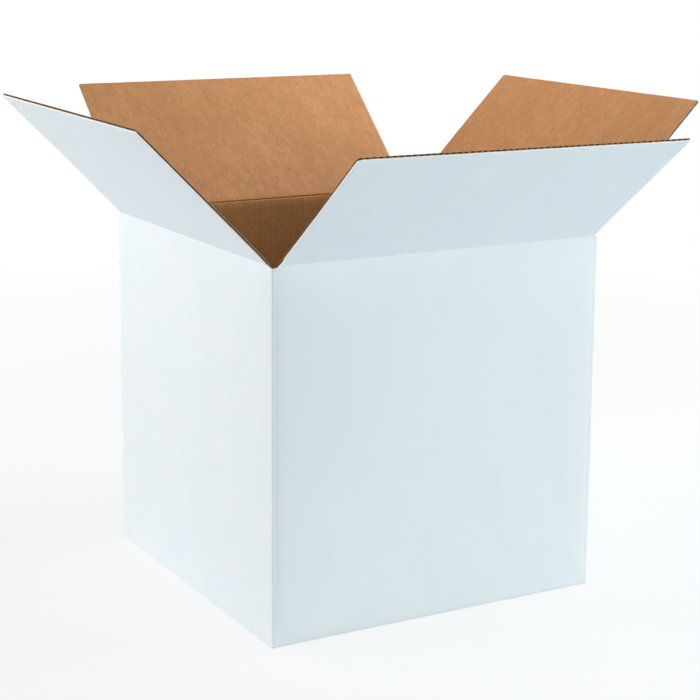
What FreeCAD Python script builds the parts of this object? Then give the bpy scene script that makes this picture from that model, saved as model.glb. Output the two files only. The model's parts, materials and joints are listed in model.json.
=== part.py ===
import FreeCAD, Part
import os
from math import acos, cos, floor, radians, sin, sqrt, tan

from FreeCAD import Placement, Rotation, Vector

# A regular slotted box, 16 x 16 x 16 inches inside, folded from one sheet of C-flute board.
# The row frame has its origin at the middle of the base on the floor, +Z up, with the
# length along X and the width along Y. All sizes are in millimetres and degrees.

# the box
inside_length = 406.4
inside_width = 406.4
score_height = 415.0          # from the floor to the top scores
top_seam = 6.0                # left between the cut edges of two shut top flaps
base_seam = 3.0               # the same in the base

# the board
board = 3.8
liner = 0.35
medium = 0.3                  # thickness of the fluted sheet between the liners
flute_pitch = 7.57
flute_crest = 1.6             # width over which a flute is glued to a liner

# folds and scores
corner_radius = 4.0           # outside of a vertical fold
inner_fold_radius = 0.8
base_fold_radius = 3.0        # outside of the fold under the outer base flaps
crease_board = 1.6            # board left where a score has crushed it
crease_reach = 7.0            # how far the crushed board tapers back to full thickness
flute_start = 1.0             # flat board between a crushed root and its open flutes
wall_tip = 0.2                # the wall stops this far below its score
outer_wall_bevel = 2.2        # drop across the crushed tip, under an outer flap
inner_wall_bevel = 3.8        # the same under an inner flap, which shuts lower
flap_tip = 0.3                # the flap starts this far beyond its score
flap_bevel = 1.8

# how the flaps shut: outer over inner
flap_clearance = 0.3
shut_shift = 1.8              # a shut flap lies this far above or below its score
outer_axis_out = 0.8          # hinge line, outside the wall's face
inner_axis_out = 0.0

# slots between the panels
slot_width = 9.0
slot_drop = 1.0               # depth of the slot's rounded end below the wall tips
flap_side_gap = 0.4           # flaps are this much narrower at each side than their panel
post_foot = 0.4               # the bent corners end this far above the floor

# the base
base_layer_gap = 0.25         # between the inner and outer base flaps
base_end_gap = 0.1            # between an inner base fold and the ends of the outer base flaps
inner_fold_drop = 0.3         # virtual corner of the inner base fold, below the floor
inner_fold_outer_radius = 0.8

# the maker's joint
tab_length = 35.0
tab_board = 3.0
tab_end_trim = 12.0
tab_end_slant = 15.0
joint_edge_gap = 0.6          # the back wall's cut edge stops short of the right wall's face
joint_fold_radius = 2.5
joint_groove = 1.6            # open flute along the cut edge

cutter_overrun = 1.0

# how far each top flap leans out from upright
lean = {"front": 51.4, "right": 45.0, "back": 46.8, "left": 44.8}

outer_length = inside_length + 2 * board
outer_width = inside_width + 2 * board
slot_half = slot_width / 2
# outer and inner scores are offset by what the shut layers need beyond their own shifts
score_step = board + flap_clearance - 2 * shut_shift

# side: (turn about Z, length along the wall, distance of its outer face, outer flap or not)
SIDES = {
    "front": (0, outer_length, outer_width / 2, True),
    "right": (90, outer_width, outer_length / 2, False),
    "back": (180, outer_length, outer_width / 2, True),
    "left": (270, outer_width, outer_length / 2, False),
}


def outline(corners, plane):
    """Closed wire through (a, b, radius) corners; plane turns (a, b) into a point."""
    edges, ends = [], []
    for i, (a, b, radius) in enumerate(corners):
        at = plane(a, b)
        if radius == 0:
            ends.append((at, at))
            continue
        before, after = corners[i - 1], corners[(i + 1) % len(corners)]
        u = (plane(before[0], before[1]) - at).normalize()
        v = (plane(after[0], after[1]) - at).normalize()
        half = acos(u.dot(v)) / 2
        middle = (u + v).normalize()
        start, end = at + u * (radius / tan(half)), at + v * (radius / tan(half))
        edges.append((i, Part.Arc(start, at + middle * (radius / sin(half) - radius), end).toShape()))
        ends.append((start, end))
    arcs = dict(edges)
    run = []
    for i, (start, end) in enumerate(ends):
        if i in arcs:
            run.append(arcs[i])
        run.append(Part.LineSegment(end, ends[(i + 1) % len(ends)][0]).toShape())
    return Part.Wire(run)


def in_section(y, z):
    return Vector(0, y, z)


def in_plan(x, y):
    return Vector(x, y, 0)


def along_wall(corners, length):
    """A section across the wall (y inward, z up), run along the wall, centred on x = 0."""
    face = Part.Face(outline(corners, in_section))
    face.translate(Vector(-length / 2, 0, 0))
    return face.extrude(Vector(length, 0, 0))


def upright(corners, low, high):
    """A section in plan, run from one height to another."""
    face = Part.Face(outline(corners, in_plan))
    face.translate(Vector(0, 0, low))
    return face.extrude(Vector(0, 0, high - low))


def place_side(shape, side):
    """From a wall's own frame (x along, y inward from the outer face, z up) to the row frame."""
    turn, _, reach, _ = SIDES[side]
    spin = Rotation(Vector(0, 0, 1), turn)
    return shape.transformed(Placement(spin.multVec(Vector(0, -reach, 0)), spin).toMatrix())


def score_level(outer):
    return score_height + (score_step / 2 if outer else -score_step / 2)


def panel(side):
    """One wall with its base flap, as a folded strip between two slots."""
    _, length, reach, outer = SIDES[side]
    tip = score_level(outer) - wall_tip
    base_end = reach - base_seam / 2
    bevel = outer_wall_bevel if outer else inner_wall_bevel
    top = [(0, tip, 0), (crease_board, tip - bevel, 0), (board, tip - crease_reach, 0)]
    if outer:
        base = [
            (board, board, inner_fold_radius),
            (base_end, board, 0),
            (base_end, 0, 0),
            (0, 0, base_fold_radius),
        ]
    else:
        under = board + base_layer_gap
        base = [
            (board, under + board, inner_fold_radius),
            (base_end, under + board, 0),
            (base_end, under, 0),
            (slot_half - base_end_gap, under, 0),
            (0, -inner_fold_drop, inner_fold_outer_radius),
        ]
    return place_side(along_wall(top + base, length - slot_width), side)


def slot_end():
    """Cutter for the rounded end of a slot, in the frame of a corner at the origin."""
    low = min(score_level(True), score_level(False)) - wall_tip
    radius = (slot_half**2 + slot_drop**2) / (2 * slot_drop)
    centre = Vector(0, 0, low - slot_drop + radius)
    lengthwise = Part.makeCylinder(radius, board, centre, Vector(0, 1, 0))
    crosswise = Part.makeCylinder(radius, board, centre, Vector(1, 0, 0))
    return lengthwise.fuse(crosswise)


def corner_post():
    """The bent strip between two slots, with the outer corner of the box at the origin."""
    low = min(score_level(True), score_level(False)) - wall_tip
    bend = [
        (0, slot_half, 0),
        (0, 0, corner_radius),
        (slot_half, 0, 0),
        (slot_half, board, 0),
        (board, board, inner_fold_radius),
        (board, slot_half, 0),
    ]
    return upright(bend, post_foot, low).cut(slot_end())


def place_corner(shape, x_side, y_side):
    """From a corner at the origin, with the box towards +X +Y, to a corner of the box."""
    turn = {(-1, -1): 0, (1, -1): 90, (1, 1): 180, (-1, 1): 270}[x_side, y_side]
    at = Vector(x_side * outer_length / 2, y_side * outer_width / 2, 0)
    return shape.transformed(Placement(at, Rotation(Vector(0, 0, 1), turn)).toMatrix())


def makers_joint():
    """The corner where the sheet's ends meet: the right wall's tab is glued in the back wall.

    The outer corner of the box is at the origin, x runs along the back wall and y along
    the right wall."""
    low = min(score_level(True), score_level(False)) - wall_tip
    deep = joint_edge_gap + joint_groove
    back_end = [
        (joint_edge_gap, 0, 0),
        (slot_half, 0, 0),
        (slot_half, board, 0),
        (joint_edge_gap, board, 0),
        (joint_edge_gap, board - liner, 0),
        (deep, board - liner - medium, 0),
        (deep - joint_groove / 2, liner, 0),
        (joint_edge_gap, liner, 0),
    ]
    fold = [
        (0, board, 0),
        (board, board, 0),
        (board, slot_half, 0),
        (0, slot_half, 0),
    ]
    inner_end = board + tab_length
    slant = tab_length * tan(radians(tab_end_slant))
    tab_low, tab_high = 2 * board + tab_end_trim, low - tab_end_trim
    tab = Part.Face(Part.makePolygon([
        Vector(joint_fold_radius, board, tab_low),
        Vector(board, board, tab_low),
        Vector(inner_end, board, tab_low + slant),
        Vector(inner_end, board, tab_high - slant),
        Vector(board, board, tab_high),
        Vector(joint_fold_radius, board, tab_high),
        Vector(joint_fold_radius, board, tab_low),
    ])).extrude(Vector(0, tab_board, 0))
    ends = upright(back_end, post_foot, low).fuse(upright(fold, post_foot, low))
    return ends.cut(slot_end()).fuse(tab)


def joint_rounding():
    """Cutter that rounds the fold of the tab, beside the back wall's cut edge."""
    r = joint_fold_radius
    foot, height = -cutter_overrun, score_height + 2 * cutter_overrun
    square = [(0, board, 0), (r, board, 0), (r, board + r, 0), (0, board + r, 0)]
    roller = Part.makeCylinder(r, height, Vector(r, board + r, foot))
    return upright(square, foot, foot + height).cut(roller)


def box_body():
    """Four walls, the shut base and the glued joint, all one folded sheet."""
    pieces = [panel(side) for side in SIDES]
    pieces += [place_corner(corner_post(), x, y) for x, y in ((-1, -1), (1, -1), (-1, 1))]
    pieces.append(place_corner(makers_joint(), 1, 1))
    body = pieces[0].fuse(pieces[1:]).cut(place_corner(joint_rounding(), 1, 1))
    return body.removeSplitter()


def flute_channels(width):
    """The gaps between the fluted sheet and the liners, in plan across a flap."""
    lean_in = (flute_pitch / 2 - flute_crest) / (board - 2 * liner)
    web = medium * sqrt(1 + lean_in**2) / 2
    wide, narrow = (flute_pitch - flute_crest) / 2 - web, flute_crest / 2 - web
    channels = []
    last = floor(width / flute_pitch) + 1
    for k in range(-last, last + 1):
        x = k * flute_pitch / 2
        if k % 2 == 0:
            foot, crown = liner, board - liner - medium
        else:
            foot, crown = board - liner, liner + medium
        channels.append(Part.Face(Part.makePolygon([
            in_plan(x - wide, foot), in_plan(x + wide, foot),
            in_plan(x + narrow, crown), in_plan(x - narrow, crown), in_plan(x - wide, foot),
        ])))
    return channels


def top_flap(side):
    """A top flap: crushed root at the score, then board with its flutes open at the cut edge."""
    _, length, reach, outer = SIDES[side]
    width = length - slot_width - 2 * flap_side_gap
    fluted_from = flap_tip + crease_reach + flute_start
    cut_edge = reach - top_seam / 2
    root = along_wall([
        (0, flap_tip, 0),
        (crease_board, flap_tip + flap_bevel, 0),
        (board, flap_tip + crease_reach, 0),
        (board, fluted_from, 0),
        (0, fluted_from, 0),
    ], width)
    sheet = Part.Face(Part.makePolygon([
        in_plan(-width / 2, 0), in_plan(width / 2, 0),
        in_plan(width / 2, board), in_plan(-width / 2, board), in_plan(-width / 2, 0),
    ]))
    section = sheet.cut(Part.makeCompound(flute_channels(width)))
    section.translate(Vector(0, 0, fluted_from))
    plate = section.extrude(Vector(0, 0, cut_edge - fluted_from))
    flap = root.fuse(plate).removeSplitter()
    open_out = Placement(Vector(0, 0, score_level(outer)), Rotation(Vector(1, 0, 0), lean[side]))
    return place_side(flap.transformed(open_out.toMatrix()), side)


def hinge_line(side):
    """A point on the flap's hinge line and its direction, in the row frame.

    Shut, the flap's outer face lies shut_shift above its score (outer flaps) or below it
    (inner flaps). As it leans, that face meets the wall's face on the score."""
    turn, _, reach, outer = SIDES[side]
    out, shift = (outer_axis_out, shut_shift) if outer else (inner_axis_out, -shut_shift)
    tilt = radians(lean[side])
    rise = (shift + out * cos(tilt)) / (1 + sin(tilt))
    spin = Rotation(Vector(0, 0, 1), turn)
    return spin.multVec(Vector(0, -reach - out, score_level(outer) + rise)), spin.multVec(Vector(1, 0, 0))


def main():
    os.makedirs("parts", exist_ok=True)
    box_body().exportStep("parts/box_body.step")
    for side in SIDES:
        top_flap(side).exportStep(f"parts/{side}_flap.step")
        at, along = hinge_line(side)
        print(side, "hinge", [round(c, 3) for c in at], "along", [round(c) for c in along])


main()
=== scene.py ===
import json
from math import cos, exp, pi, radians, sin, tan

import bmesh
import bpy
import numpy as np
from mathutils import Matrix, Vector


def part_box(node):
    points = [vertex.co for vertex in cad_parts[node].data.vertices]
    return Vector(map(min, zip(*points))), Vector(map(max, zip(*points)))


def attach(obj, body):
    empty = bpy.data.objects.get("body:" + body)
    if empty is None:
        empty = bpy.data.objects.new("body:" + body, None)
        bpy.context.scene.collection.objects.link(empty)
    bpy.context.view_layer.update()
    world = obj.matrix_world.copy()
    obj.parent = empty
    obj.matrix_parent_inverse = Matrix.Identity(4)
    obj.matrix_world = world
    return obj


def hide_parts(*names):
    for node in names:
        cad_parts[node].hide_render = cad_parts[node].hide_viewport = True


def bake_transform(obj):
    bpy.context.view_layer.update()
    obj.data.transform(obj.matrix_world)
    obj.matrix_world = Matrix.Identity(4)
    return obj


# A corrugated shipping box with its top flaps open: white paper outside, brown kraft inside.
# Walls, creases and flaps are built as the board is made, two liners with a fluted medium
# between them, from the sizes below and the frame. Sizes are in metres.
MM = 0.001
SIDES = ["front", "right", "back", "left"]


def pairs(front, right, back, left):
    """Two sizes for each side, given in millimetres: at the low and the high end of along,
    which runs around the box."""
    given = {"front": front, "right": right, "back": back, "left": left}
    return {side: (low * MM, high * MM) for side, (low, high) in given.items()}


# the board
BOARD = 3.8 * MM
LINER = 0.4 * MM
MEDIUM = 0.36 * MM
FLUTE_PITCH = 7.57 * MM
GROOVE = 0.9 * MM             # how far the medium lies back from a cut edge along the flutes
LINER_SHARE = 0.3             # the most of the board's thickness that a liner takes where crushed

# scores and folds
WALL_TIP = 0.2 * MM           # a wall stops this far below its score
SCORE_STEP = 0.5 * MM         # the inner flaps' scores are this much lower
CREASE_LOW = 8.0 * MM         # the crushed board reaches this far down the wall
CREASE_HIGH = 8.3 * MM        # and this far up the flap
CREASE_BEND = 3.0 * MM        # a distance on each side of the score, for the crease's start and end points
CREASE_TURN = 1.5 * MM        # the tight turn at the score itself
CREASE_BOARD = 1.2 * MM       # board left at the score
CREASE_CRACK = 1.6 * MM       # depth of the cracked line in the inner liner
CRACK_HALF = 0.85 * MM        # half the width of that line
SHOULDER_START = 0.6 * MM     # beside the line the board swells back to its thickness from here
SHOULDER_REACH = 3.6 * MM     # over about this distance
CREASE_GROOVE = 0.3 * MM      # how far the crushed medium lies back from the slot
CORNER_RADIUS = 2.0 * MM      # outside of an upright fold
INNER_RADIUS = 0.8 * MM
BASE_RADIUS = 3.0 * MM        # outside of the fold under the outer base flaps

# slots and seams
SLOT_HALF = 4.5 * MM          # half a slot's width at its rounded end
SLOT_WIDE = 8.6 * MM          # half its width above the score
SLOT_ROUND = 3.2 * MM         # it widens over this height, in worn round corners
SLOT_DROP = 1.3 * MM          # how far its end dips below the walls' tips
SLOT_END_RISE = 0.5 * MM      # how much its end curves up at both sides
SLOT_BELOW = 2.1 * MM         # how far below the score its edges are open
FLAP_SIDE_GAP = 0.4 * MM
ROOT_GAP = 3.7 * MM           # a flap is this much narrower at each side of its root
# and its root is cut back by this much more, or by less where this is negative
ROOT_CUT = pairs(front=(0.8, -3.3), right=(0, 2.0), back=(0, 2.5), left=(-2.5, 2.6))
TOP_SEAM = 6.0 * MM           # between the cut edges of two shut flaps
BASE_SEAM = 1.2 * MM
BASE_LAYER_GAP = 0.25 * MM
BASE_END_GAP = 0.1 * MM
POST_FOOT = 0.4 * MM          # the folded corners end this far above the floor

# the maker's joint
TAB_LENGTH = 35.0 * MM
TAB_BOARD = 3.0 * MM
TAB_END_TRIM = 12.0 * MM
TAB_END_SLANT = radians(15)
TAB_GROOVE = 1.0 * MM
JOINT_GAP = 0.6 * MM
JOINT_RADIUS = 2.5 * MM
JOINT_GROOVE = 1.2 * MM       # how far the medium lies back from the back wall's cut edge

# unevenness of the walls
WALL_BOW = 0.7 * MM
WALL_WAVE = 0.35 * MM
WAVE_ALONG = 0.29             # length of the wave around the box
WAVE_UP = 0.36                # and up the wall
WAVE_SHIFT = 1.7, 0.9         # each next wall is this much further on in both, in radians
# how far a wall swells out beside its upright folds, how far from them and how fast it fades
FOLD_SWELL = pairs(front=(2.0, 1.6), right=(1.6, 1.6), back=(1.6, 1.6), left=(1.6, 0.6))
SWELL_REACH, SWELL_FADE = 32.0 * MM, 0.35
FOLD_ROLL = 0.6 * MM          # a wall rolls in this much more to the fold at its low end
ROLL_REACH, ROLL_FADE = 4.0 * MM, 0.2
SWELL_ENDS = 0.05             # the swelling dies away this near the floor and the score

# cut edges
EDGE_RAGGED = 0.08 * MM
RAGGED_SLOW, RAGGED_FINE = 0.6, 0.5    # how much of this changes slowly, and at every point
RAGGED_STRETCH = 8            # a slow change takes this many points
RAGGED_START = 4 * MM         # it starts over this distance from the crease
EDGE_SOFT = 0.8 * MM          # and moves the points about this near the edge
# how deep a liner is pressed in at a cut edge, and how far from the edge this starts
EDGE_CRUSH = {"white": (0.8 * MM, 1.8 * MM), "kraft": (0.3 * MM, 1.2 * MM)}
PRESSED_SHARE = 0.85          # the liner's own inner face moves by this share of it
# how many times as hard a flap's side edges are pressed, at the low and the high end of along
SIDE_CRUSH = {"front": (1.25, 1.0), "right": (1.0, 1.0), "back": (1.0, 1.0), "left": (1.0, 0.3)}
SIDE_CRUSH_START = 6 * MM     # this starts over this distance from the crease
SIDE_CRUSH_END = 4 * MM       # and over this distance from the free edge it becomes that edge's
# the liners' cut side edges are fuzzy, and look this much thicker
FRAY = {"white": pairs(front=(0.5, 0.4), right=(0.4, 0.4), back=(0.4, 0.4), left=(0.4, 0.95)),
        "kraft": pairs(front=(0, 0.4), right=(0.4, 0.4), back=(0.4, 0.4), left=(0.4, 0.3))}
FRAY_REACH = 0.6 * MM
FRAY_SHARE = {"white": 0.2, "kraft": 0.15}    # at a crease by at most this share of the board
FAR = 0.05                    # this far from a cut edge nothing of it can be seen

rng = np.random.default_rng(16)

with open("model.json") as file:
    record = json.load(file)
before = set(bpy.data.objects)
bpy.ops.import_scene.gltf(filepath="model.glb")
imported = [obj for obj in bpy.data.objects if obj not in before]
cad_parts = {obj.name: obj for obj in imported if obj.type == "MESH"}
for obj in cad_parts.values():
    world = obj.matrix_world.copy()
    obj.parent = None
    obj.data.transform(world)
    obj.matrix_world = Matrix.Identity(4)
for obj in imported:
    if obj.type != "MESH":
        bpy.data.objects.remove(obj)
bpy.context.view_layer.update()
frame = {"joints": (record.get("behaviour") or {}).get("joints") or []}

body_low, body_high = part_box("box_body")
HALF = body_high.x                                  # half the box's outer length and width
SPAN = HALF - SLOT_HALF                             # half the length of a panel between slots
OUTER_SCORE = body_high.z + WALL_TIP
SCORE = {"front": OUTER_SCORE, "back": OUTER_SCORE,
         "right": OUTER_SCORE - SCORE_STEP, "left": OUTER_SCORE - SCORE_STEP}
POST_TOP = OUTER_SCORE - SCORE_STEP - WALL_TIP
FLAP_HALF = SPAN - FLAP_SIDE_GAP
FLAP_LENGTH = HALF - TOP_SEAM / 2
HINGES = {joint["child"]: joint for joint in frame["joints"]}
# a shut flap has turned in by its lean and a right angle
LEAN = {side: radians(-90 - HINGES[side + "_flap"]["range_deg"][0]) for side in SIDES}


# ------------ from the flat sheet to the frame

def side_matrix(side):
    """Turns (along the wall, in from its outer face, up) into the row frame."""
    turn = radians(90 * SIDES.index(side))
    c, s = cos(turn), sin(turn)
    return np.array([[c, -s, 0], [s, c, 0], [0, 0, 1]]), np.array([HALF * s, -HALF * c, 0])


def to_frame(side, points):
    spin, shift = side_matrix(side)
    return points @ spin.T + shift


def smooth(x):
    """Eased from 0 to 1."""
    x = np.clip(x, 0, 1)
    return x * x * (3 - 2 * x)


def at_end(pair, along):
    """The pair's first value in the low half of along, and its second in the high half."""
    return np.where(along < 0, *pair)


def panel_middle(side):
    """How far around the flat sheet a panel's middle lies."""
    return 2 * HALF * SIDES.index(side)


def sheet_places(around, up, depth):
    """Places on the flat sheet: around the box, up the sheet, in from its outer face."""
    return np.stack(np.broadcast_arrays(around, up, depth), -1)


def leaning(side, along, beyond, depth, angle):
    """A point beyond the score by a distance, at a depth in from the outer face, where the
    board has turned out from upright by an angle. All four may be arrays."""
    along, beyond, depth, angle = np.broadcast_arrays(along, beyond, depth, angle)
    inward = -beyond * np.sin(angle) + depth * np.cos(angle)
    up = SCORE[side] + beyond * np.cos(angle) + depth * np.sin(angle)
    return to_frame(side, np.stack([along, inward, up], -1))


def spread(low, high, step, fine):
    """Positions from low to high about a step apart, with fine distances from both ends."""
    count = max(2, int(round((high - low) / step)) + 1)
    middle = np.linspace(low + fine[-1], high - fine[-1], count)
    return np.unique(np.round(np.concatenate([[low, high], low + fine, high - fine, middle]), 7))


# ------------ solids made of layers

SHARP_EDGE = radians(32)
WELD = 2e-7                   # nearer points are one


class Board:
    """Gathers solids into one mesh. Every vertex keeps its place on the flat sheet (around the
    box, up the sheet, depth) and its distance from the nearest cut edge, for the materials."""

    def __init__(self):
        self.points, self.places, self.rims = [], [], []
        self.faces, self.finishes = [], []
        self.count = 0

    def add(self, points, places, rims, faces, finish):
        self.points.append(points.reshape(-1, 3))
        self.places.append(np.broadcast_to(places, points.shape).reshape(-1, 3))
        self.rims.append(np.broadcast_to(rims, points.shape[:-1]).reshape(-1))
        for face, name in zip(faces, finish):
            self.faces.append([self.count + i for i in face])
            self.finishes.append(name)
        self.count += points.reshape(-1, 3).shape[0]

    def slab(self, points, places, rims, skins, bands, welded=None):
        """A closed solid from layers of grids, points[layer, row, column].

        skins: finishes of the first and last layer. bands: finishes of the edge between one
        layer and the next. welded: rows whose two ends are welded to a neighbour, and so have
        no edge faces."""
        layers, rows, columns = points.shape[:3]
        index = np.arange(layers * rows * columns).reshape(layers, rows, columns)
        faces, finish = [], []

        def quads(grid, name, flip):
            a, b, c, d = grid[:-1, :-1], grid[:-1, 1:], grid[1:, 1:], grid[1:, :-1]
            order = (a, b, c, d) if flip else (a, d, c, b)
            found = np.stack(order, -1).reshape(-1, 4).tolist()
            faces.extend(found)
            finish.extend([name] * len(found))

        quads(index[0], skins[0], False)
        quads(index[-1], skins[1], True)
        edges = [index[:, 0, :], index[:, -1, :], index[:, :, 0], index[:, :, -1]]
        for k, edge in enumerate(edges):
            for layer, name in enumerate(bands):
                strip = edge[layer:layer + 2]
                if k >= 2 and welded is not None:
                    for r in np.flatnonzero(~welded):
                        quads(strip[:, r:r + 2], name, k == 3)
                else:
                    quads(strip, name, k in (0, 3))
        self.add(points, places, rims, faces, finish)

    def make(self, name, finishes):
        """The finished object: welded, without loose points, smooth except at sharp edges."""
        mesh = bpy.data.meshes.new(name)
        points = np.concatenate(self.points)
        mesh.from_pydata(points.tolist(), [], self.faces)
        order = list(dict.fromkeys(self.finishes))
        for finish in order:
            mesh.materials.append(finishes[finish])
        mesh.polygons.foreach_set("material_index", [order.index(f) for f in self.finishes])
        place = mesh.attributes.new("sheet_place", "FLOAT_VECTOR", "POINT")
        place.data.foreach_set("vector", np.concatenate(self.places).astype(np.float32).ravel())
        rim = mesh.attributes.new("from_cut_edge", "FLOAT", "POINT")
        rim.data.foreach_set("value", np.concatenate(self.rims).astype(np.float32))
        tidy(mesh)
        mesh.set_sharp_from_angle(angle=SHARP_EDGE)
        return add_object(name, mesh)


def add_object(name, data):
    made = bpy.data.objects.new(name, data)
    bpy.context.scene.collection.objects.link(made)
    return made


def tidy(mesh):
    """Welds touching points, deletes loose ones, and points all faces out."""
    bm = bmesh.new()
    bm.from_mesh(mesh)
    bmesh.ops.remove_doubles(bm, verts=bm.verts, dist=WELD)
    bmesh.ops.delete(bm, geom=[v for v in bm.verts if not v.link_faces], context="VERTS")
    bmesh.ops.recalc_face_normals(bm, faces=bm.faces)
    for face in bm.faces:
        face.smooth = True
    bm.to_mesh(mesh)
    bm.free()


# The walls and creases have six layers of points: the outer liner's two faces, the medium's
# two, which share the liners' places but lie further back at a cut edge, and the inner liner's.
LAYER_DEPTHS = np.array([0, LINER, LINER, BOARD - LINER, BOARD - LINER, BOARD])
OUTER_LAYERS = slice(0, 3)
MEDIUM_LAYERS = slice(2, 4)
SKINS = ("white_liner", "kraft_liner")
# the medium's finish, fluting, is painted much darker than its paper, as shade in the flute hollows
CUT = ("white_cut", "fluting_dark_as_shade", "fluting_dark_as_shade", "fluting_dark_as_shade", "kraft_cut")
# the crushed crease's cut medium gets a dark finish, painted as shade in the slots
CRUSHED_CUT = ("white_cut", "crushed_cut_dark_as_shade", "crushed_cut_dark_as_shade", "crushed_cut_dark_as_shade", "kraft_cut")


def layered(outer, inner, liner=LINER):
    """The six layers of points between an outer and an inner surface."""
    across = inner - outer
    thick = np.linalg.norm(across, axis=-1, keepdims=True)
    skin = across / thick * np.minimum(liner, thick * LINER_SHARE)
    return np.stack([outer, outer + skin, outer + skin, inner - skin, inner - skin, inner])


def recess(points, edges, depth=GROOVE):
    """Moves the medium's layers back from some of the edges: first or last, row or column."""
    rows = points[MEDIUM_LAYERS].swapaxes(0, 1)
    columns = points[MEDIUM_LAYERS].transpose(2, 0, 1, 3)
    lines = {"first row": (rows, 0, 1), "last row": (rows, -1, -2),
             "first column": (columns, 0, 1), "last column": (columns, -1, -2)}
    for edge in edges:
        grid, outermost, beside = lines[edge]
        way = grid[beside] - grid[outermost]
        grid[outermost] += way / np.linalg.norm(way, axis=-1, keepdims=True) * depth
    return points


# ------------ walls and base

def swelling(most, from_fold, reach, fade):
    """Rises over a reach from a fold, and fades away beyond."""
    reaches = from_fold / reach
    return most * (1 - np.exp(-2 * reaches)) * np.exp(-fade * reaches)


def wave(along, up, side):
    """How far a wall stands out of flat: nothing at its folds and scores."""
    k = SIDES.index(side)
    height = SCORE[side]
    reach = np.cos(pi * np.clip(along / HALF, -1, 1) / 2) * np.sin(pi * np.clip(up / height, 0, 1))
    around_shift, up_shift = np.multiply(WAVE_SHIFT, k)
    ripple = (np.sin(2 * pi * along / WAVE_ALONG + around_shift)
              * np.sin(2 * pi * up / WAVE_UP + up_shift))
    ends = smooth(up / SWELL_ENDS) * smooth((height - up) / SWELL_ENDS)
    from_fold = SPAN - np.abs(along)
    swell = swelling(at_end(FOLD_SWELL[side], along), from_fold, SWELL_REACH, SWELL_FADE) * ends
    swell += swelling(at_end((FOLD_ROLL, 0), along), from_fold, ROLL_REACH, ROLL_FADE) * ends
    # one wall bows out and the next one in
    return reach * ((-1) ** k * WALL_BOW + WALL_WAVE * ripple) + swell


def base_fold(outer_side):
    """The fold from wall to base flap: outer and inner points as (inward, up)."""
    turn = np.linspace(0, pi / 2, 6)
    if outer_side:
        outer = BASE_RADIUS - BASE_RADIUS * np.stack([np.cos(turn), np.sin(turn)], -1)
        level = BOARD
    else:
        # an inner base flap folds at the floor and rises to lie on the outer ones
        under = BOARD + BASE_LAYER_GAP
        end = np.array([SLOT_HALF - BASE_END_GAP, under])
        nose = INNER_RADIUS * np.stack([1 - np.cos(turn), 1 - np.sin(turn)], -1)
        outer = np.concatenate([nose[:-1:2], [end * 0.5, end * 0.8, end]])
        level = under + BOARD
    centre = np.array([BOARD, level]) + INNER_RADIUS
    inner = centre - INNER_RADIUS * np.stack([np.cos(turn), np.sin(turn)], -1)
    return outer, inner


# rows and columns of points that the walls, folded corners and creases share
WALL_ROWS = np.linspace(12 * MM, OUTER_SCORE - SCORE_STEP - CREASE_LOW - 2 * MM, 34)
ALONG = spread(-SPAN, SPAN, 9 * MM, np.array([0.5, 1, 2, 3.5, 5, 7, 9.5, 12, 15]) * MM)
# and more rows near the corners' ends
FOOT_ROWS = [POST_FOOT, 6 * MM]
SLOT_ROWS = [POST_TOP - 6 * MM, POST_TOP - 4 * MM]


def joint_round(side, along):
    """The right wall rolls in towards the glue tab, close to the back corner."""
    if side != "right":
        return np.zeros_like(along)
    past = np.clip(along - (HALF - BOARD - JOINT_RADIUS), 0, JOINT_RADIUS)
    return JOINT_RADIUS - np.sqrt(JOINT_RADIUS**2 - past**2)


def panel(walls, side):
    """One wall and its base flap, with the wall's top left for the crease."""
    rows = np.concatenate([[SCORE[side] - CREASE_LOW], WALL_ROWS[::-1]])
    fold_outer, fold_inner = base_fold(side in ("front", "back"))
    base_end = HALF - BASE_SEAM / 2
    run = np.append(np.linspace(9 * MM, base_end - 2 * MM, 17), base_end)
    outer = np.concatenate([np.stack([0 * rows, rows], -1), fold_outer,
                            np.stack([run, 0 * run + fold_outer[-1, 1]], -1)])
    inner = np.concatenate([np.stack([0 * rows + BOARD, rows], -1), fold_inner,
                            np.stack([run, 0 * run + fold_inner[-1, 1]], -1)])
    layers = layered(outer, inner)[:, :, None, :]
    inward, up, along = np.broadcast_arrays(layers[..., 0], layers[..., 1], ALONG[None, None, :])
    on_wall = (np.arange(len(outer)) < len(rows))[:, None]
    inward = inward - np.where(on_wall, wave(along, up, side), 0)
    inward[OUTER_LAYERS] += joint_round(side, along[OUTER_LAYERS]) * on_wall
    points = np.stack([along, inward, up], -1)
    # on the flat sheet the fold takes the stretch from 4 mm above the floor to 2 mm below
    fold_up = 4 * MM - np.linspace(0, 6 * MM, len(fold_outer))
    sheet_up = np.concatenate([rows, fold_up, -run])
    places = sheet_places(along + panel_middle(side), sheet_up[None, :, None],
                          LAYER_DEPTHS[:, None, None])
    from_edge = np.minimum((base_end - outer[:, 0])[:, None], SPAN - np.abs(ALONG))
    rims = np.where(on_wall, FAR, from_edge)
    strips = np.arange(len(outer) - 1)
    welded = (strips >= 1) & (strips < len(rows) - 1)
    shown = recess(to_frame(side, points), ["last row"])
    walls.slab(shown, places, rims[None], SKINS, CUT, welded)


def slot_level(offset):
    """Height of the slot's end, at a distance along the sheet from the corner."""
    return POST_TOP - SLOT_DROP + SLOT_END_RISE * np.square(offset / SLOT_HALF)


def slot_offset(level, wide):
    """Half the slot's width at a height on the flat sheet, where it is this wide above the score."""
    share = np.clip((level - (POST_TOP - SLOT_DROP)) / SLOT_ROUND, 0, 1)
    return SLOT_HALF + (wide - SLOT_HALF) * np.sqrt(1 - (1 - share)**2)


def corner_point(k, inward_a, inward_b):
    """The corner after side k: distances in from that side's outer face and the next one's."""
    side = SIDES[k]
    flat = np.stack([HALF - inward_b, inward_a, 0 * inward_a], -1)
    return to_frame(side, flat)


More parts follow.
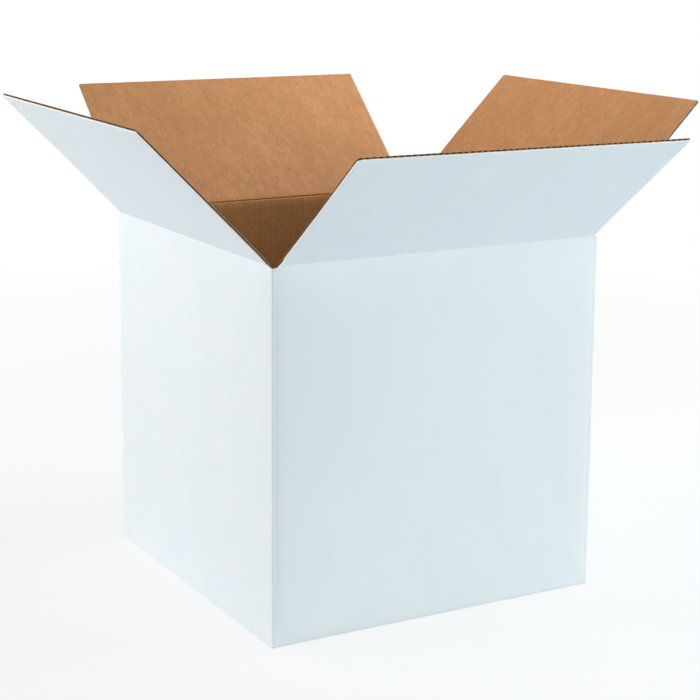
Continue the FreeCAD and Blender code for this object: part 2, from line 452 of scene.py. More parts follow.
def corner_post(walls, k):
    """The rounded fold between side k and the next, from the floor to the slot's end."""
    turn = np.linspace(0, pi / 2, 9)
    outer_a = np.concatenate([[0], CORNER_RADIUS * (1 - np.cos(turn)), [SLOT_HALF]])
    outer_b = np.concatenate([[SLOT_HALF], CORNER_RADIUS * (1 - np.sin(turn)), [0]])
    inner_a = np.concatenate([[BOARD], BOARD + INNER_RADIUS * (1 - np.cos(turn)), [SLOT_HALF]])
    inner_b = np.concatenate([[SLOT_HALF], BOARD + INNER_RADIUS * (1 - np.sin(turn)), [BOARD]])
    offset = np.concatenate([[-SLOT_HALF], CORNER_RADIUS * (turn - pi / 4) / (pi / 4), [SLOT_HALF]])
    outer, inner = corner_point(k, outer_a, outer_b), corner_point(k, inner_a, inner_b)
    levels = np.concatenate([FOOT_ROWS, WALL_ROWS, [SCORE[SIDES[k]] - CREASE_LOW], SLOT_ROWS])
    levels = np.repeat(levels[:, None], len(offset), 1)
    levels = np.vstack([levels, slot_level(offset)])[::-1]
    points = np.repeat(layered(outer, inner)[:, None], len(levels), 1)
    # the outer liner is spread to twice its thickness at the slot's end
    points[OUTER_LAYERS, 0] = layered(outer, inner, 2 * LINER)[OUTER_LAYERS]
    points[..., 2] = levels
    rims = np.minimum(slot_level(offset) - levels, FAR)
    places = sheet_places(panel_middle(SIDES[k]) + HALF + offset, levels,
                          LAYER_DEPTHS[:, None, None])
    # the rows that it shares with the walls are welded to them; from the top, they come after
    # the slot's end, its rows and the wall's top
    above = 1 + len(SLOT_ROWS) + 1
    welded = np.zeros(len(levels) - 1, bool)
    welded[above:above + len(WALL_ROWS) - 1] = True
    walls.slab(recess(points, ["first row"]), places, rims[None], SKINS, CUT, welded)


def joint_piece(walls, outer, inner, heights, around, up, rims, groove=0.0):
    """A part of the glued corner: its layers of points, repeated at each row of heights."""
    points = np.repeat(layered(outer, inner)[:, None], len(heights), 1)
    points[..., 2] = heights
    places = sheet_places(around, up, LAYER_DEPTHS[:, None, None])
    walls.slab(recess(points, ["last column"], groove), places, rims[None], SKINS, CUT)


def makers_joint(walls):
    """The glued corner: the back wall's cut edge, and the right wall's tab inside it."""
    k = SIDES.index("right")
    levels = np.concatenate([FOOT_ROWS, WALL_ROWS, [SLOT_ROWS[-1], POST_TOP]])[::-1, None]
    # the end of the back wall, from the slot's edge to its cut edge
    ends = np.array([SLOT_HALF, JOINT_GAP])
    joint_piece(walls, corner_point(k, ends, 0 * ends), corner_point(k, ends, 0 * ends + BOARD),
                np.minimum(levels, slot_level(ends)), panel_middle("back") - HALF - ends, levels,
                np.hstack([0 * levels + SLOT_HALF, 0 * levels]), JOINT_GROOVE)
    # the right wall's fold, rolled in to the tab
    steps = 6
    start = HALF - BOARD - JOINT_RADIUS
    turn = np.linspace(np.arcsin((SPAN - start) / JOINT_RADIUS), pi / 2, steps)
    outer_a = JOINT_RADIUS * (1 - np.cos(turn))
    outer_b = HALF - (start + JOINT_RADIUS * np.sin(turn))
    inner_b = np.linspace(SLOT_HALF, BOARD + TAB_BOARD, steps)
    joint_piece(walls, corner_point(k, outer_a, outer_b),
                corner_point(k, np.full(steps, BOARD), inner_b),
                np.minimum(levels, slot_level(np.minimum(outer_b, SLOT_HALF))),
                panel_middle("right") + HALF - outer_b, levels, np.full((1, 1), FAR))
    # the tab, with slanted ends
    tab_low, tab_high = 2 * BOARD + TAB_END_TRIM, POST_TOP - TAB_END_TRIM
    into = np.linspace(JOINT_RADIUS, BOARD + TAB_LENGTH, 12)
    slant = np.clip(into - BOARD, 0, None) * tan(TAB_END_SLANT)
    share = np.linspace(1, 0, 30)[:, None]
    heights = (tab_low + slant) * (1 - share) + (tab_high - slant) * share
    rims = np.minimum(np.minimum(heights - heights[-1], heights[0] - heights), into[-1] - into)
    joint_piece(walls, corner_point(k, into, 0 * into + BOARD),
                corner_point(k, into, 0 * into + BOARD + TAB_BOARD),
                heights, panel_middle("right") + HALF + into, heights, rims, TAB_GROOVE)


def box_walls(finishes):
    walls = Board()
    for side in SIDES:
        panel(walls, side)
    for side in ("front", "back", "left"):
        corner_post(walls, SIDES.index(side))
    makers_joint(walls)
    made = walls.make("box_walls", finishes)
    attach(made, "box")
    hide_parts("box_body")


# ------------ creases

def crushed(beyond):
    """Board thickness at a distance from the score: a cracked line between two soft shoulders."""
    x = np.abs(beyond)
    line = CREASE_BOARD + CREASE_CRACK * smooth(x / CRACK_HALF)
    missing = BOARD - CREASE_BOARD - CREASE_CRACK
    eased = 1 - np.exp(-np.clip(x - SHOULDER_START, 0, None) / SHOULDER_REACH)
    at_wall = 1 - exp(-(CREASE_LOW - SHOULDER_START) / SHOULDER_REACH)
    return line + np.minimum(missing * eased / at_wall, missing)


def fray(kind, side, along, from_edge):
    """How much thicker a liner looks at its fuzzy side edges."""
    return at_end(FRAY[kind][side], along) * np.exp(-from_edge / FRAY_REACH)


def crease(side, finishes):
    """The crushed strip from the wall to the flap."""
    near = np.array([0, 0.15, 0.3, 0.45, 0.8, 1.2, 1.6, 2.0, 2.5, 3.0, 3.8, 4.8, 5.8, 7.0]) * MM
    beyond = np.concatenate([[-CREASE_LOW], -near[:0:-1], near, [CREASE_HIGH]])[:, None]
    angle = LEAN[side] * smooth((beyond + CREASE_TURN) / (2 * CREASE_TURN))
    # a root that reaches further leaves a narrower slot, and one that is cut back draws in
    # from just below the score
    share = ALONG / SPAN
    root_cut = at_end(ROOT_CUT[side], share)
    wide = SLOT_WIDE + np.minimum(root_cut, 0)
    cut = np.maximum(root_cut, 0) * smooth((beyond + 1 * MM) / (4 * MM))
    half = HALF - slot_offset(SCORE[side] + beyond, wide[None]) - cut
    along = half * share
    from_edge = half - np.abs(along)
    thick = np.broadcast_to(crushed(beyond), along.shape)
    skin = np.minimum(LINER, thick * LINER_SHARE)
    white = skin + np.minimum(fray("white", side, share, from_edge), thick * FRAY_SHARE["white"])
    kraft = skin + np.minimum(fray("kraft", side, share, from_edge), thick * FRAY_SHARE["kraft"])
    depths = np.stack([0 * thick, white, white, thick - kraft, thick - kraft, thick])
    grid = leaning(side, along, beyond, depths, angle)
    rolled = joint_round(side, along) * (beyond < 0)
    spin, _ = side_matrix(side)
    grid[OUTER_LAYERS] += rolled[..., None] * spin[:, 1]
    places = sheet_places(along + panel_middle(side), SCORE[side] + beyond, depths)
    rims = np.where(beyond > -SLOT_BELOW, from_edge, FAR)
    strip = Board()
    strip.slab(recess(grid, ["first column", "last column"], CREASE_GROOVE), places, rims[None],
               SKINS, CRUSHED_CUT)
    made = strip.make(side + "_crease", finishes)
    start = leaning(side, 0, -CREASE_BEND, 0, 0)
    end = leaning(side, 0, CREASE_BEND, 0, LEAN[side])
    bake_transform(made)


# ------------ top flaps

# how far a flap's free corners stand in from its plane; outer flaps only stand out and inner
# ones in, so that they still shut over each other
WARP = pairs(front=(0, -2.5), right=(1.0, 0.5), back=(-1.0, 0), left=(1.5, 0))
WARP_EASE = 0.1               # the share of its length over which the warp starts
RIPPLE = 0.3 * MM
RIPPLE_ALONG = 0.23           # length of the ripple along the flap
RIPPLE_SHIFT = 2.1            # each next flap is this much further on in it, in radians
# how much a flap narrows towards its free corners, and how much longer it is there
TAPER = pairs(front=(6.0, 0.5), right=(0, 4.0), back=(3.0, 4.5), left=(0, 7.5))
LONGER = pairs(front=(0, 0), right=(0, 0), back=(0, 0), left=(2.0, 0))


def up_flap(beyond):
    """0 at a flap's root and 1 at its free edge."""
    return np.clip((beyond - CREASE_HIGH) / (FLAP_LENGTH - CREASE_HIGH), 0, 1.01)


def between(pair, along):
    """Goes evenly from the pair's first value, at the low end of along, to its second."""
    across = (along / FLAP_HALF + 1) / 2
    return (1 - across) * pair[0] + across * pair[1]


def warp(side, along, beyond):
    """How far the flap is twisted in from flat: nothing at its root, most at its free corners."""
    share = up_flap(beyond)
    rise = (share - WARP_EASE * (1 - np.exp(-share / WARP_EASE))) / (1 - WARP_EASE)
    k = SIDES.index(side)
    phase = 2 * pi * along / RIPPLE_ALONG + RIPPLE_SHIFT * k
    ripple = RIPPLE * (1 + np.sin(phase)) * np.sin(pi * share)**2
    # ripples stand out on an outer flap and in on an inner one
    return rise * between(WARP[side], along) + (-1) ** (k + 1) * ripple


def side_cut(side, along, beyond):
    """Draws a flap's side edges in: a little at its root, and by its taper towards its end."""
    share = up_flap(beyond)
    root = (ROOT_GAP + at_end(ROOT_CUT[side], along)) * (1 - share)
    taper = at_end(TAPER[side], along) * share
    return along * (1 - (root + taper) / FLAP_HALF)


# the blunted free corners: how far in from the corner the blunting starts, and how round it is,
# from 1 for a straight clip to a great power for a square corner
CORNER_BLUNT = 1.0 * MM, 2.5
CLIPPED_CORNER = 3.6 * MM, 1.15       # the front flap's corner at the low end of along


def blunt(side, along, beyond):
    """Moves the points near a flap's free corners in, so that the corners are blunt."""
    along, beyond = np.array(along, float), np.array(beyond, float)
    for end in (-1, 1):
        reach, power = CLIPPED_CORNER if (side, end) == ("front", -1) else CORNER_BLUNT
        u = (end * along - FLAP_HALF + reach) / reach
        v = (beyond - FLAP_LENGTH + reach) / reach
        near = (u > 0) & (v > 0)
        u, v = np.where(near, u, 1), np.where(near, v, 1)
        pull = np.maximum(u, v) / (u**power + v**power) ** (1 / power)
        along = np.where(near, end * (FLAP_HALF - reach + u * pull * reach), along)
        beyond = np.where(near, FLAP_LENGTH - reach + v * pull * reach, beyond)
    return along, beyond


def edge_crush(side, kind, along, beyond):
    """How far a liner is pressed in towards the medium at a flap's cut edges."""
    depth, reach = EDGE_CRUSH[kind]
    from_side, from_end = FLAP_HALF - np.abs(along), FLAP_LENGTH - beyond
    ease = smooth((beyond - CREASE_HIGH) / SIDE_CRUSH_START)
    rim = np.where(from_side < from_end, reach - (reach - from_side) * ease, from_end)
    hard = 1 + (at_end(SIDE_CRUSH[side], along) - 1) * smooth(from_end / SIDE_CRUSH_END)
    return depth * hard * (1 - np.clip(rim / reach, 0, 1)) ** 2


def ragged(count):
    """Small uneven steps along a cut edge."""
    fine = rng.normal(0, 1, count)
    knots = np.arange(0, count + RAGGED_STRETCH, RAGGED_STRETCH)
    slow = np.interp(np.arange(count), knots, rng.normal(0, 1, len(knots)))
    return EDGE_RAGGED * (RAGGED_SLOW * slow + RAGGED_FINE * fine)


def flap_point(side, along, beyond, depth):
    """A flap's point in the row frame, with the flap's twist, taper and length."""
    twisted = depth + warp(side, along, beyond)
    longer = between(LONGER[side], along) * (beyond - CREASE_HIGH) / (FLAP_LENGTH - CREASE_HIGH)
    return leaning(side, side_cut(side, along, beyond), beyond + longer, twisted, LEAN[side])


def liner_sheet(board, side, kind, skins, cut):
    """A flap's outer or inner liner, with its cut edges a little uneven and pressed in."""
    fine = np.array([0.2, 0.5, 0.9, 1.4, 2, 3.2, 4.6, 6.2]) * MM
    along = spread(-FLAP_HALF, FLAP_HALF, 3 * MM, fine)
    beyond = spread(CREASE_HIGH, FLAP_LENGTH, 8 * MM, fine)
    a, b = np.meshgrid(along, beyond)
    crush = edge_crush(side, kind, a, b)
    rim = np.minimum(FLAP_HALF - np.abs(a), FLAP_LENGTH - b)
    ease = smooth((b - CREASE_HIGH) / RAGGED_START)
    a, b = blunt(side, a, b)
    for end in (-1, 1):
        beside = np.exp(-(FLAP_HALF - end * along) / EDGE_SOFT)
        a += ragged(len(beyond))[:, None] * beside * ease
    b += ragged(len(along)) * np.exp(-(FLAP_LENGTH - beyond) / EDGE_SOFT)[:, None]
    fuzz = fray(kind, side, along, FLAP_HALF - np.abs(along))
    if kind == "white":
        depths = np.stack([crush, LINER + PRESSED_SHARE * crush + fuzz])
    else:
        depths = np.stack([BOARD - LINER - PRESSED_SHARE * crush - fuzz, BOARD - crush])
    places = sheet_places(a + panel_middle(side), SCORE[side] + b, depths)
    board.slab(flap_point(side, a, b, depths), places, rim[None], skins, (cut,))


# the fluted medium
FLUTE_POINTS = 12             # columns of points in one flute
FLUTE_LEAN = 0.15             # how far the flutes lean over along the board
FLUTE_GLUED = 0.02 * MM       # how far their crests sink into the liners
FLUTE_THIN = 0.92             # how thin the medium is drawn as it is bent into flutes
FLUTE_DRIFT = 0.25            # how unevenly they are spaced
DRIFT_ALONG = 0.11            # over this length
MEDIUM_INSET = 1.5 * MM       # how far the medium lies back from a flap's side edges
MEDIUM_UNEVEN = 0.12 * MM     # how uneven its cut end is
# at the crushed free edge: how much more the flutes lean over and lie along the outer liner,
# how much thicker the frayed paper is, and how far it folds into the hollow beside it, each
# with the distance over which it does
EDGE_LEAN, EDGE_LEAN_REACH = 0.35, 2 * MM
EDGE_FRAY, EDGE_FRAY_REACH = 1.1, 0.30 * MM
EDGE_FOLD, EDGE_FOLD_REACH = 0.95, 0.8 * MM


def medium_sheet(board, side):
    """The fluted medium, glued to both liners at its crests."""
    half = FLAP_HALF - MEDIUM_INSET
    along = np.append(np.arange(-half, half, FLUTE_PITCH / FLUTE_POINTS), half)
    # few rows of points up the flap, and more close to its free edge
    beyond = np.concatenate([[CREASE_HIGH + 0.1 * MM], np.array([40, 90, 140, 185, 196]) * MM,
                             FLAP_LENGTH - np.array([3.2, 1.8, 1.0, 0.5, 0.15]) * MM])
    a, b = np.meshgrid(along, beyond)
    from_end = FLAP_LENGTH - b
    uneven = np.repeat(rng.normal(0, MEDIUM_UNEVEN, len(along) // 4 + 1), 4)[:len(along)]
    around = a + panel_middle(side)
    phase = 2 * pi * around / FLUTE_PITCH + FLUTE_DRIFT * np.sin(2 * pi * around / DRIFT_ALONG)
    swing = (BOARD - 2 * LINER - MEDIUM) / 2 + FLUTE_GLUED
    # where they lie along the outer liner for longer, the other side is more open
    crushed_edge = EDGE_LEAN * np.exp(-from_end / EDGE_LEAN_REACH)
    rise = 2 * ((1 + np.sin(phase)) / 2) ** (1 + crushed_edge) - 1
    slope = np.cos(phase) * swing * 2 * pi / FLUTE_PITCH
    frayed = 1 + EDGE_FRAY * np.exp(-from_end / EDGE_FRAY_REACH)
    half_web = MEDIUM / 2 * np.sqrt(1 + slope**2) * FLUTE_THIN * frayed
    low = LINER + PRESSED_SHARE * edge_crush(side, "white", a, b) + half_web
    high = BOARD - LINER - PRESSED_SHARE * edge_crush(side, "kraft", a, b) - half_web
    centre = np.clip(BOARD / 2 + swing * rise, low, high)
    folded = EDGE_FOLD * np.exp(-from_end / EDGE_FOLD_REACH) * (centre - low)
    a = np.clip(a + (FLUTE_LEAN + crushed_edge) * (centre - BOARD / 2), -half, half)
    a, b = blunt(side, a, b)
    b[-1] += uneven
    depths = np.stack([centre - half_web - folded, centre + half_web])
    places = sheet_places(around, SCORE[side] + b, depths)
    # the medium's faces get the fluting finish, painted dark as shade in the hollows
    board.slab(flap_point(side, a, b, depths), places, np.full((1, 1, 1), FAR),
               ("fluting_dark_as_shade", "fluting_dark_as_shade"), ("fluting_cut",))


def top_flap(side, finishes):
    flap = Board()
    liner_sheet(flap, side, "white", ("white_liner", "fluting_dark_as_shade"), "white_cut")
    medium_sheet(flap, side)
    liner_sheet(flap, side, "kraft", ("fluting_dark_as_shade", "kraft_liner"), "kraft_cut")
    made = flap.make(side + "_flap_board", finishes)
    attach(made, side + "_flap")
    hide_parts(side + "_flap")


# ------------ materials

def node(tree, kind, values=None, **settings):
    """A node with its settings and its input values; an input may be another node's output."""
    made = tree.nodes.new(kind)
    for name, value in settings.items():
        setattr(made, name, value)
    for name, value in (values or {}).items():
        socket = made.inputs[name]
        if isinstance(value, bpy.types.NodeSocket):
            tree.links.new(value, socket)
        else:
            socket.default_value = value
    return made


def maths(tree, operation, a, b=None, c=None, clamp=False):
    values = {0: a}
    if b is not None:
        values[1] = b
    if c is not None:
        values[2] = c
    return node(tree, "ShaderNodeMath", values, operation=operation, use_clamp=clamp).outputs[0]


def group(name, inputs, outputs):
    """An empty node group: inputs are {name: default}, outputs are names of values."""
    tree = bpy.data.node_groups.new(name, "ShaderNodeTree")
    for label, default in inputs.items():
        made = tree.interface.new_socket(label, in_out="INPUT", socket_type="NodeSocketFloat")
        made.default_value = default
    for label in outputs:
        tree.interface.new_socket(label, in_out="OUTPUT", socket_type="NodeSocketFloat")
    return tree, tree.nodes.new("NodeGroupInput").outputs, tree.nodes.new("NodeGroupOutput").inputs


def place_on_sheet(tree, around, up):
    """The point's place on the flat sheet, in units of around and up (two sizes in metres)."""
    place = node(tree, "ShaderNodeAttribute", attribute_name="sheet_place")
    return node(tree, "ShaderNodeVectorMath", {0: place.outputs["Vector"],
        1: (1 / around, 1 / up, 1 / around)}, operation="MULTIPLY").outputs[0]


def noise(tree, vector, detail, rough):
    return node(tree, "ShaderNodeTexNoise", {"Vector": vector, "Scale": 1.0, "Detail": detail,
        "Roughness": rough}, noise_dimensions="3D").outputs["Fac"]


# what a sheet of paper is mottled with: its size around the box and up the sheet in
# millimetres, and how finely it is broken up
GRAIN_ROUGHNESS = 0.58
GRAIN = {"Fibres": (0.5, 1.6, 3.0), "Flecks": (1.9, 6.0, 2.0), "Mottle": (9.0, 15.0, 2.0),
         "Clouds": (60.0, 85.0, 3.0), "Streaks": (3.2, 60.0, 3.0)}


def make_paper_grain():
    """Fine fibres, specks and slow clouds of a sheet of paper, each from 0 to 1."""
    tree, _, out = group("paper_grain", {}, list(GRAIN))
    for name, (around, up, detail) in GRAIN.items():
        place = place_on_sheet(tree, around * MM, up * MM)
        tree.links.new(noise(tree, place, detail, GRAIN_ROUGHNESS), out[name])
    return tree


def make_flute_ridges():
    """The faint ridges that the glued flutes print through a liner: 1 at a crest, 0 between."""
    tree, _, out = group("flute_ridges", {}, ["Ridge"])
    place = node(tree, "ShaderNodeAttribute", attribute_name="sheet_place")
    apart = node(tree, "ShaderNodeSeparateXYZ", {0: place.outputs["Vector"]})
    drift = noise(tree, place_on_sheet(tree, 40 * MM, 120 * MM), 1.0, 0.5)
    phase = maths(tree, "MULTIPLY_ADD", apart.outputs["X"], 2 * pi / FLUTE_PITCH,
                  maths(tree, "MULTIPLY", drift, 1.4))
    tree.links.new(maths(tree, "MULTIPLY_ADD", maths(tree, "SINE", phase), 0.5, 0.5), out["Ridge"])
    return tree


def make_edge_wear_and_highlight():
    """1 at a cut edge, falling to 0 over a reach in metres, with an uneven border."""
    # a mask for worn cut edges, and for a painted highlight along the white liner's edges
    tree, given, out = group("cut_wear_and_highlight", {"Reach": 1.0 * MM}, ["Wear"])
    rim = node(tree, "ShaderNodeAttribute", attribute_name="from_cut_edge")
    uneven = noise(tree, place_on_sheet(tree, 1.2 * MM, 1.2 * MM), 3.0, 0.6)
    reach = maths(tree, "MULTIPLY", given["Reach"], maths(tree, "MULTIPLY_ADD", uneven, 1.6, 0.2))
    share = maths(tree, "DIVIDE", rim.outputs["Fac"], reach)
    tree.links.new(maths(tree, "SUBTRACT", 1.0, share, clamp=True), out["Wear"])
    return tree


def mixed(tree, factor, a, b):
    """A colour between a and b: each is three numbers or another node's output."""
    made = node(tree, "ShaderNodeMix", data_type="RGBA", clamp_factor=True)
    # this node's sockets for colours are found by number
    for socket, value in ((made.inputs[0], factor), (made.inputs[6], a), (made.inputs[7], b)):
        if isinstance(value, bpy.types.NodeSocket):
            tree.links.new(value, socket)
        else:
            socket.default_value = value if isinstance(value, float) else (*value, 1.0)
    return made.outputs[2]


def material(name, roughness, specular=0.3):
    made = bpy.data.materials.new(name)
    made.use_nodes = True
    tree = made.node_tree
    shader = tree.nodes["Principled BSDF"]
    shader.inputs["Roughness"].default_value = roughness
    shader.inputs["Specular IOR Level"].default_value = specular
    return made, tree, shader


def effect(tree, made, values=None):
    """The outputs of one of the shared effects, in a material's tree."""
    return node(tree, "ShaderNodeGroup", values, node_tree=made).outputs


def add_bump(tree, shader, height, distance=MM):
    bump = node(tree, "ShaderNodeBump", {"Height": height, "Distance": distance})
    tree.links.new(bump.outputs[0], shader.inputs["Normal"])


def ranged(tree, value, low, high, new_low=0.0, new_high=1.0):
    """The value moved from one range to another, and kept within it."""
    return node(tree, "ShaderNodeMapRange", {"Value": value, "From Min": low, "From Max": high,
        "To Min": new_low, "To Max": new_high}).outputs[0]


WHITE_COOL = (0.800, 0.860, 0.885)
WHITE_WARM = (0.835, 0.872, 0.885)
WHITE_FIBRE = (0.72, 0.77, 0.79)
# the white liner's cut edges: partly their fuzzy cream colour and partly a painted highlight, over
# this reach
CREAM_AND_HIGHLIGHT = (0.99, 0.96, 0.90)    # the white liner's fuzzy edge
WHITE_WEAR_AND_HIGHLIGHT = 1.6 * MM
KRAFT_LIGHT = (0.61, 0.295, 0.122)
KRAFT_DARK = (0.51, 0.232, 0.088)
KRAFT_OLIVE = (0.46, 0.238, 0.086)
KRAFT_PALE = (0.70, 0.38, 0.19)
KRAFT_SPECK = (0.33, 0.150, 0.055)
KRAFT_EDGE = (0.62, 0.42, 0.25)
KRAFT_WEAR = 0.5 * MM
# painted shade: the kraft's colour is multiplied by this down inside the box
KRAFT_INSIDE_SHADE = (0.84, 0.96, 0.97)     # what the kraft's colour is multiplied by inside the box
# the light and the dark tone of torn and cut paper
RAW_PAPERS = {
    "white_cut": ((0.99, 0.955, 0.89), (0.95, 0.90, 0.82)),
    "kraft_cut": ((0.60, 0.40, 0.25), (0.46, 0.29, 0.165)),
    # painted shade: the medium is much darker than kraft, so that the flute hollows look shaded
    "fluting_dark_as_shade": ((0.19, 0.080, 0.027), (0.10, 0.040, 0.013)),
    # painted shade: the crushed medium at a crease is as dark as the shade in the slot
    "crushed_cut_dark_as_shade": ((0.15, 0.082, 0.042), (0.09, 0.048, 0.024)),
    "fluting_cut": ((0.42, 0.25, 0.135), (0.28, 0.16, 0.08)),
}


def white_liner(effects):
    made, tree, shader = material("white_liner", 0.6)
    grain = effect(tree, effects["grain"])
    ridge = effect(tree, effects["ridges"])["Ridge"]
    wear_and_highlight = effect(tree, effects["wear_and_highlight"], {"Reach": WHITE_WEAR_AND_HIGHLIGHT})["Wear"]
    paper = mixed(tree, ranged(tree, grain["Clouds"], 0.35, 0.65), WHITE_COOL, WHITE_WARM)
    fibre = mixed(tree, ranged(tree, grain["Fibres"], 0.35, 0.7, 0.0, 0.10), paper, WHITE_FIBRE)
    # a band along cut edges: partly the fuzzy cream edge, partly a painted highlight
    tree.links.new(mixed(tree, wear_and_highlight, fibre, CREAM_AND_HIGHLIGHT), shader.inputs["Base Color"])
    tree.links.new(ranged(tree, grain["Clouds"], 0.3, 0.7, 0.52, 0.66), shader.inputs["Roughness"])
    fibres = maths(tree, "MULTIPLY", grain["Fibres"], 0.02)
    add_bump(tree, shader, maths(tree, "MULTIPLY_ADD", ridge, 0.010, fibres))
    return made


def kraft_liner(effects):
    made, tree, shader = material("kraft_liner", 0.7)
    grain = effect(tree, effects["grain"])
    ridge = effect(tree, effects["ridges"])["Ridge"]
    wear_and_highlight = effect(tree, effects["wear_and_highlight"], {"Reach": KRAFT_WEAR})["Wear"]
    # slow changes of tone, with an olive tinge in the darker mottle and lighter flute ridges
    tone = maths(tree, "MULTIPLY", grain["Clouds"], 0.40)
    tone = maths(tree, "MULTIPLY_ADD", grain["Streaks"], 0.25, tone)
    tone = maths(tree, "MULTIPLY_ADD", grain["Mottle"], 0.35, tone)
    paper = mixed(tree, ranged(tree, tone, 0.38, 0.62), KRAFT_DARK, KRAFT_LIGHT)
    tinted = mixed(tree, ranged(tree, grain["Mottle"], 0.30, 0.62, 0.45, 0.0), paper, KRAFT_OLIVE)
    lined = mixed(tree, maths(tree, "MULTIPLY", ridge, 0.10), tinted, KRAFT_LIGHT)
    # pale and dark flecks, dark fibres and the worn edge
    pale = mixed(tree, ranged(tree, grain["Flecks"], 0.55, 0.74, 0.0, 0.36), lined, KRAFT_PALE)
    dark = mixed(tree, ranged(tree, grain["Flecks"], 0.43, 0.30, 0.0, 0.55), pale, KRAFT_SPECK)
    fibre = mixed(tree, ranged(tree, grain["Fibres"], 0.42, 0.25, 0.0, 0.30), dark, KRAFT_SPECK)
    worn = mixed(tree, wear_and_highlight, fibre, KRAFT_EDGE)
    # painted shade: a little less red and darker down inside the box than on the flaps, where shade
    # falls
    place = node(tree, "ShaderNodeAttribute", attribute_name="sheet_place")
    up = node(tree, "ShaderNodeSeparateXYZ", {0: place.outputs["Vector"]}).outputs["Y"]
    inside = ranged(tree, up, OUTER_SCORE, OUTER_SCORE + 0.6 * MM, 1.0, 0.0)
    painted_inside_shade = node(tree, "ShaderNodeVectorMath", {0: worn, 1: KRAFT_INSIDE_SHADE}, operation="MULTIPLY")
    tree.links.new(mixed(tree, inside, worn, painted_inside_shade.outputs[0]), shader.inputs["Base Color"])
    tree.links.new(ranged(tree, grain["Fibres"], 0.3, 0.7, 0.62, 0.82), shader.inputs["Roughness"])
    height = maths(tree, "MULTIPLY_ADD", ridge, 0.05, maths(tree, "MULTIPLY", grain["Fibres"], 0.04))
    add_bump(tree, shader, maths(tree, "MULTIPLY_ADD", grain["Flecks"], 0.07, height))
    return made


def raw_paper(name, light, dark, effects):
    """A torn or cut paper surface: mottled between two tones, with a fibrous bump."""
    made, tree, shader = material(name, 0.85, specular=0.03)
    grain = effect(tree, effects["grain"])
    tree.links.new(mixed(tree, ranged(tree, grain["Fibres"], 0.35, 0.65), dark, light),
                   shader.inputs["Base Color"])
    add_bump(tree, shader, grain["Fibres"], 0.08 * MM)
    return made


def make_finishes():
    effects = {"grain": make_paper_grain(), "ridges": make_flute_ridges(), "wear_and_highlight": make_edge_wear_and_highlight()}
    finishes = {"white_liner": white_liner(effects), "kraft_liner": kraft_liner(effects)}
    for name, (light, dark) in RAW_PAPERS.items():
        finishes[name] = raw_paper(name, light, dark, effects)
    return finishes


# ------------ studio

CAMERA_PLACE = (-1.033, -1.838, 0.763)
CAMERA_HEADING = radians(60.63)
CAMERA_TILT = radians(-11.17)
CAMERA_ROLL = radians(0.37)
CAMERA_LENS = 93.44
CAMERA_SHIFT = -0.1


def add_camera():
    data = bpy.data.cameras.new("camera")
    data.lens = CAMERA_LENS
    data.sensor_width = 36.0
    data.shift_y = CAMERA_SHIFT
    data.clip_start, data.clip_end = 0.05, 50
    ahead = Vector((cos(CAMERA_TILT) * cos(CAMERA_HEADING), cos(CAMERA_TILT) * sin(CAMERA_HEADING),
                    sin(CAMERA_TILT)))
    right = Vector((sin(CAMERA_HEADING), -cos(CAMERA_HEADING), 0))
    above = right.cross(ahead)
    level = right * cos(CAMERA_ROLL) + above * sin(CAMERA_ROLL)
    raised = above * cos(CAMERA_ROLL) - right * sin(CAMERA_ROLL)
    made = add_object("camera", data)
    turned = Matrix((level, raised, -ahead)).transposed().to_4x4()
    made.matrix_world = Matrix.Translation(CAMERA_PLACE) @ turned
    bpy.context.scene.camera = made


def shows_backdrop(tree):
    """1 for the rays that show the plain background: camera, mirror and see-through rays."""
    path = node(tree, "ShaderNodeLightPath").outputs
    return maths(tree, "ADD", path["Is Camera Ray"],
                 maths(tree, "ADD", path["Is Glossy Ray"], path["Is Transmission Ray"]), clamp=True)


BACKDROP = (1, 1, 1, 1)
FILL_COLOUR = (0.90, 0.96, 1.0, 1)
FILL_STRENGTH = 0.05
FLOOR_REACH = 12.0
FLOOR_DROP = 0.2 * MM         # the floor lies this far below the box's base
FLOOR_NEAR = (0.79, 0.872, 0.918)
FLOOR_FAR = (0.58, 0.66, 0.715)
FLOOR_FADE = 0.35, 1.1        # how far from the middle the one becomes the other
SHADOW_FADE = 0.5, 2.0        # and where the box's shadow fades away
FLOOR_GLOW = 0.80             # how much of the floor seen near the box is glow


def add_world():
    world = bpy.data.worlds.new("studio")
    bpy.context.scene.world = world
    world.use_nodes = True
    tree = world.node_tree
    tree.nodes.clear()
    fill = node(tree, "ShaderNodeBackground", {"Color": FILL_COLOUR, "Strength": FILL_STRENGTH})
    plain = node(tree, "ShaderNodeBackground", {"Color": BACKDROP, "Strength": 1.0})
    both = node(tree, "ShaderNodeMixShader",
                {0: shows_backdrop(tree), 1: fill.outputs[0], 2: plain.outputs[0]})
    node(tree, "ShaderNodeOutputWorld", {"Surface": both.outputs[0]})


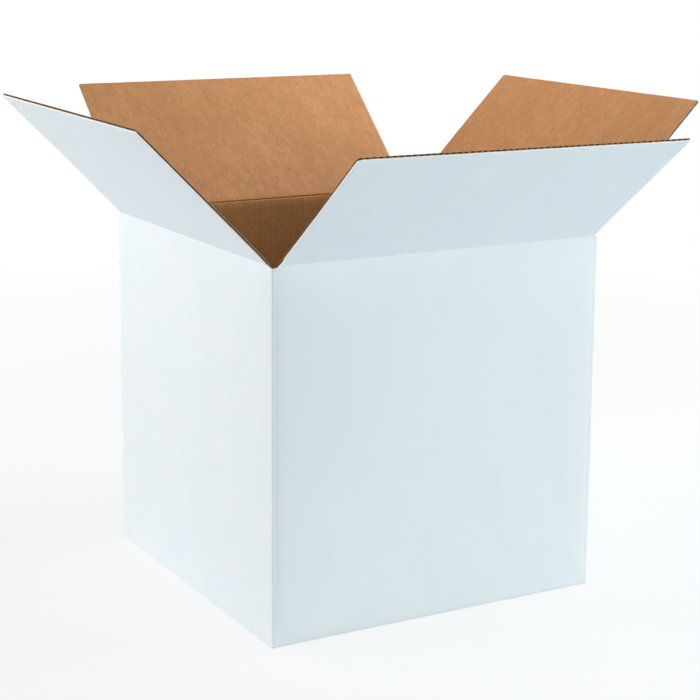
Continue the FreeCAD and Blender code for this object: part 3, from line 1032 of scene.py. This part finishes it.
def add_floor():
    """A white floor that fades into the background and keeps a faint shadow. Like a sheet of paper
    on a darker floor, it throws light back at the box only from near by."""
    mesh = bpy.data.meshes.new("floor")
    corners = [(-1, -1), (1, -1), (1, 1), (-1, 1)]
    mesh.from_pydata([(x * FLOOR_REACH, y * FLOOR_REACH, 0) for x, y in corners], [], [(0, 1, 2, 3)])
    floor = add_object("floor", mesh)
    floor.location.z = -FLOOR_DROP
    made = bpy.data.materials.new("floor_paper")
    made.use_nodes = True
    tree = made.node_tree
    tree.nodes.clear()
    place = node(tree, "ShaderNodeNewGeometry").outputs["Position"]
    away = node(tree, "ShaderNodeVectorMath", {0: place}, operation="LENGTH").outputs["Value"]
    seen = shows_backdrop(tree)
    unseen = maths(tree, "SUBTRACT", 1.0, seen)
    far = maths(tree, "MULTIPLY", ranged(tree, away, *FLOOR_FADE), unseen)
    paper = node(tree, "ShaderNodeBsdfDiffuse", {"Color": mixed(tree, far, FLOOR_NEAR, FLOOR_FAR)})
    glow = node(tree, "ShaderNodeEmission", {"Color": BACKDROP, "Strength": 1.0})
    share = maths(tree, "MULTIPLY", seen, ranged(tree, away, *SHADOW_FADE, FLOOR_GLOW, 1.0))
    both = node(tree, "ShaderNodeMixShader", {0: share, 1: paper.outputs[0], 2: glow.outputs[0]})
    node(tree, "ShaderNodeOutputMaterial", {"Surface": both.outputs[0]})
    mesh.materials.append(made)


LAMPS_AIM = Vector((0, 0, 0.28))
WARM = (1.0, 0.965, 0.95)
COOL = (0.955, 0.99, 1.0)
GREENISH = (0.98, 0.995, 0.97)
DAYLIGHT = (0.975, 0.99, 1.0)
NEUTRAL = (1.0, 1.0, 1.0)


def lamp(name, heading, height, distance, size, power, colour):
    """A square soft lamp, placed by its heading and height in degrees as seen from the box."""
    turn, rise = radians(heading), radians(height)
    place = LAMPS_AIM + Vector((cos(rise) * cos(turn), cos(rise) * sin(turn), sin(rise))) * distance
    data = bpy.data.lights.new(name, "AREA")
    data.shape, data.size = "SQUARE", size
    data.energy, data.color = power, colour
    made = add_object(name, data)
    made.location = place
    made.rotation_mode = "QUATERNION"
    made.rotation_quaternion = (LAMPS_AIM - place).to_track_quat("-Z", "Y")
    made.visible_camera = False


def add_lights():
    lamp("left_panel", heading=156, height=12, distance=3.6, size=1.8, power=88, colour=WARM)
    lamp("right_panel", heading=326, height=4, distance=3.4, size=1.8, power=38, colour=COOL)
    lamp("right_near", heading=345, height=35, distance=2.4, size=1.2, power=25, colour=COOL)
    lamp("front_panel", heading=240, height=10, distance=3.0, size=1.4, power=7.8, colour=COOL)
    lamp("front_low", heading=270, height=6, distance=3.0, size=1.4, power=25.5, colour=GREENISH)
    lamp("overhead", heading=5, height=60, distance=1.35, size=0.8, power=8.5, colour=DAYLIGHT)
    lamp("back_panel", heading=120, height=35, distance=2.2, size=1.0, power=8, colour=NEUTRAL)


# ------------ making

finishes = make_finishes()
box_walls(finishes)
for side in SIDES:
    crease(side, finishes)
    top_flap(side, finishes)

add_camera()
add_world()
add_floor()
add_lights()
bpy.context.scene.view_settings.view_transform = "Standard"
